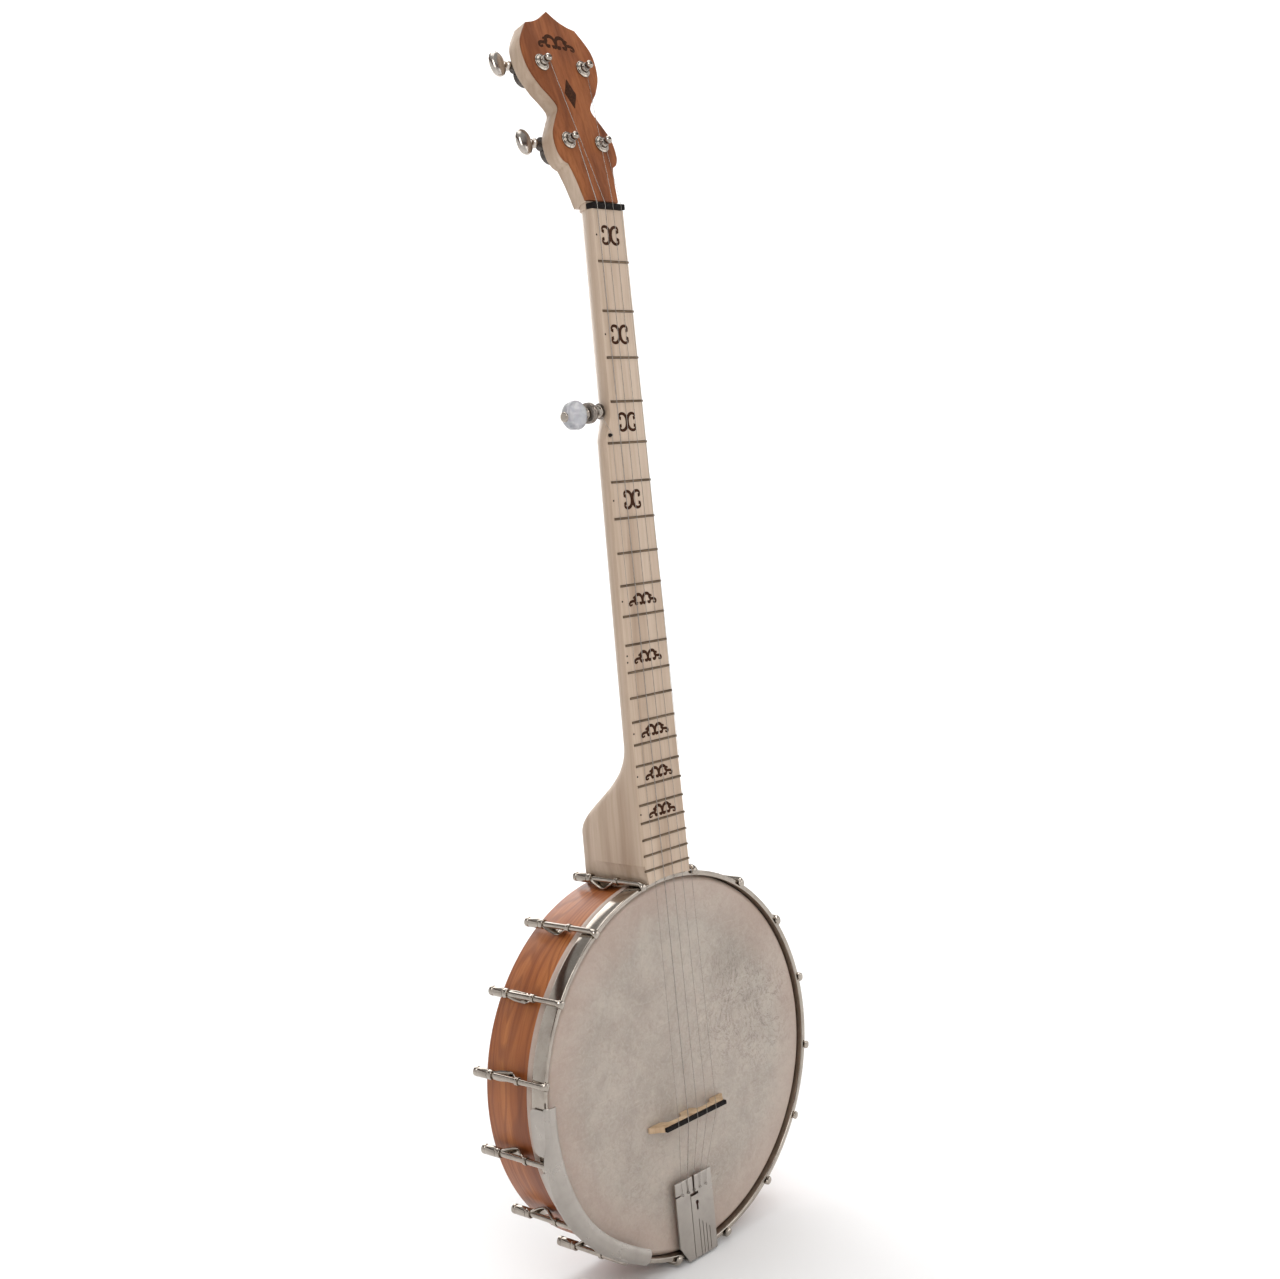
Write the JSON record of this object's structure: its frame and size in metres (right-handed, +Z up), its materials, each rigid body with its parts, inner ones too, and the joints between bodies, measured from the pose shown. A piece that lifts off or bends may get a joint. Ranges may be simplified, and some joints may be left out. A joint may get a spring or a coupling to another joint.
{
  "type": "open-back banjo",
  "caption": "Open-back banjo: wooden pot with a skin head, metal hoop and hooks, a fretted neck with a short fifth string, geared tuners and an armrest.",
  "frame": {"origin": "the point on the peghead's centre line where a wall hanger's yoke takes it, in the middle of the peghead's thickness", "axes": "+Z up along the neck, -Y the way the head faces, +X the treble side, -X the side with the fifth string's peg"},
  "size_m": [0.3016, 0.0801, 0.9319],
  "materials": {
    "maple": "satin lacquer on pale maple",
    "bridge_maple": "bare maple with a black top strip",
    "overlay_wood": "satin lacquer on red-brown veneer",
    "rim_wood": "gloss lacquer on red-brown wood",
    "head_skin": "frosted film with a faint fibrous print, 0.5 mm thick",
    "polished_nickel": "polished nickel plate",
    "satin_nickel": "satin nickel plate",
    "gear_case_nickel": "darker nickel plate on pressed steel",
    "rod_steel": "nickel plated steel rod",
    "string_steel": "plain and wound steel string",
    "black_nut": "black, hand-rubbed",
    "pearloid": "white pearloid"
  },
  "bodies": {
    "instrument_body": {"armrest": "satin_nickel", "bracket_01": "polished_nickel", "bracket_02": "polished_nickel", "bracket_03": "polished_nickel", "bracket_04": "polished_nickel", "bracket_05": "polished_nickel", "bracket_06": "polished_nickel", "bracket_07": "polished_nickel", "bracket_08": "polished_nickel", "bracket_09": "polished_nickel", "bracket_10": "polished_nickel", "bracket_11": "polished_nickel", "bracket_12": "polished_nickel", "bracket_13": "polished_nickel", "bracket_14": "polished_nickel", "bracket_15": "polished_nickel", "bracket_16": "polished_nickel", "bridge": "bridge_maple", "coordinator_rod": "rod_steel", "fifth_peg_core": "polished_nickel", "fifth_string_nut": "black_nut", "head": "head_skin", "neck": "maple", "nut": "black_nut", "peghead_overlay": "overlay_wood", "rim": "rim_wood", "string_1": "string_steel", "string_2": "string_steel", "string_3": "string_steel", "string_4": "string_steel", "string_5": "string_steel", "tail_bolt": "polished_nickel", "tailpiece": "satin_nickel", "tension_hoop": "polished_nickel", "tuner_bushing_bass_lower": "polished_nickel", "tuner_bushing_bass_upper": "polished_nickel", "tuner_bushing_treble_lower": "polished_nickel", "tuner_bushing_treble_upper": "polished_nickel", "tuner_case_bass_lower": "gear_case_nickel", "tuner_case_bass_upper": "gear_case_nickel", "tuner_case_treble_lower": "gear_case_nickel", "tuner_case_treble_upper": "gear_case_nickel"},
    "fifth_peg_button": {"fifth_peg_button": "pearloid"},
    "fifth_peg_post": {"fifth_peg_post": "polished_nickel"},
    "tuner_button_bass_lower": {"tuner_button_bass_lower": "satin_nickel"},
    "tuner_button_bass_upper": {"tuner_button_bass_upper": "satin_nickel"},
    "tuner_button_treble_lower": {"tuner_button_treble_lower": "satin_nickel"},
    "tuner_button_treble_upper": {"tuner_button_treble_upper": "satin_nickel"},
    "tuner_post_bass_lower": {"tuner_post_bass_lower": "polished_nickel"},
    "tuner_post_bass_upper": {"tuner_post_bass_upper": "polished_nickel"},
    "tuner_post_treble_lower": {"tuner_post_treble_lower": "polished_nickel"},
    "tuner_post_treble_upper": {"tuner_post_treble_upper": "polished_nickel"}
  },
  "joints": [
    {"name": "turn_button_bass_lower", "type": "hinge", "parent": "instrument_body", "child": "tuner_button_bass_lower", "pos_m": [-0.0406, 0.01755, 0.01495], "axis": [-1, 0, 0], "continuous": true},
    {"name": "turn_post_bass_lower", "type": "hinge", "parent": "instrument_body", "child": "tuner_post_bass_lower", "pos_m": [-0.0168, -0.0035, 0.01365], "axis": [0, -0.9659, 0.2588], "continuous": true},
    {"name": "turn_button_bass_upper", "type": "hinge", "parent": "instrument_body", "child": "tuner_button_bass_upper", "pos_m": [-0.0445, 0.03311, 0.073], "axis": [-1, 0, 0], "continuous": true},
    {"name": "turn_post_bass_upper", "type": "hinge", "parent": "instrument_body", "child": "tuner_post_bass_upper", "pos_m": [-0.0207, 0.01206, 0.07171], "axis": [0, -0.9659, 0.2588], "continuous": true},
    {"name": "turn_button_treble_lower", "type": "hinge", "parent": "instrument_body", "child": "tuner_button_treble_lower", "pos_m": [0.0406, 0.01755, 0.01495], "axis": [1, 0, 0], "continuous": true},
    {"name": "turn_post_treble_lower", "type": "hinge", "parent": "instrument_body", "child": "tuner_post_treble_lower", "pos_m": [0.0168, -0.0035, 0.01365], "axis": [0, -0.9659, 0.2588], "continuous": true},
    {"name": "turn_button_treble_upper", "type": "hinge", "parent": "instrument_body", "child": "tuner_button_treble_upper", "pos_m": [0.0445, 0.03311, 0.073], "axis": [1, 0, 0], "continuous": true},
    {"name": "turn_post_treble_upper", "type": "hinge", "parent": "instrument_body", "child": "tuner_post_treble_upper", "pos_m": [0.0207, 0.01206, 0.07171], "axis": [0, -0.9659, 0.2588], "continuous": true},
    {"name": "turn_fifth_peg_button", "type": "hinge", "parent": "instrument_body", "child": "fifth_peg_button", "pos_m": [-0.019, -0.0112, -0.1805], "axis": [-0.9962, 0, -0.0872], "continuous": true},
    {"name": "turn_fifth_peg_post", "type": "hinge", "parent": "instrument_body", "child": "fifth_peg_post", "pos_m": [-0.019, -0.0112, -0.1805], "axis": [-0.9962, 0, -0.0872], "continuous": true}
  ],
  "couplings": [
    {"joint": "turn_post_bass_lower", "follows": "turn_button_bass_lower", "ratio": 0.071429},
    {"joint": "turn_post_bass_upper", "follows": "turn_button_bass_upper", "ratio": 0.071429},
    {"joint": "turn_post_treble_lower", "follows": "turn_button_treble_lower", "ratio": -0.071429},
    {"joint": "turn_post_treble_upper", "follows": "turn_button_treble_upper", "ratio": -0.071429},
    {"joint": "turn_fifth_peg_post", "follows": "turn_fifth_peg_button", "ratio": 0.25}
  ]
}
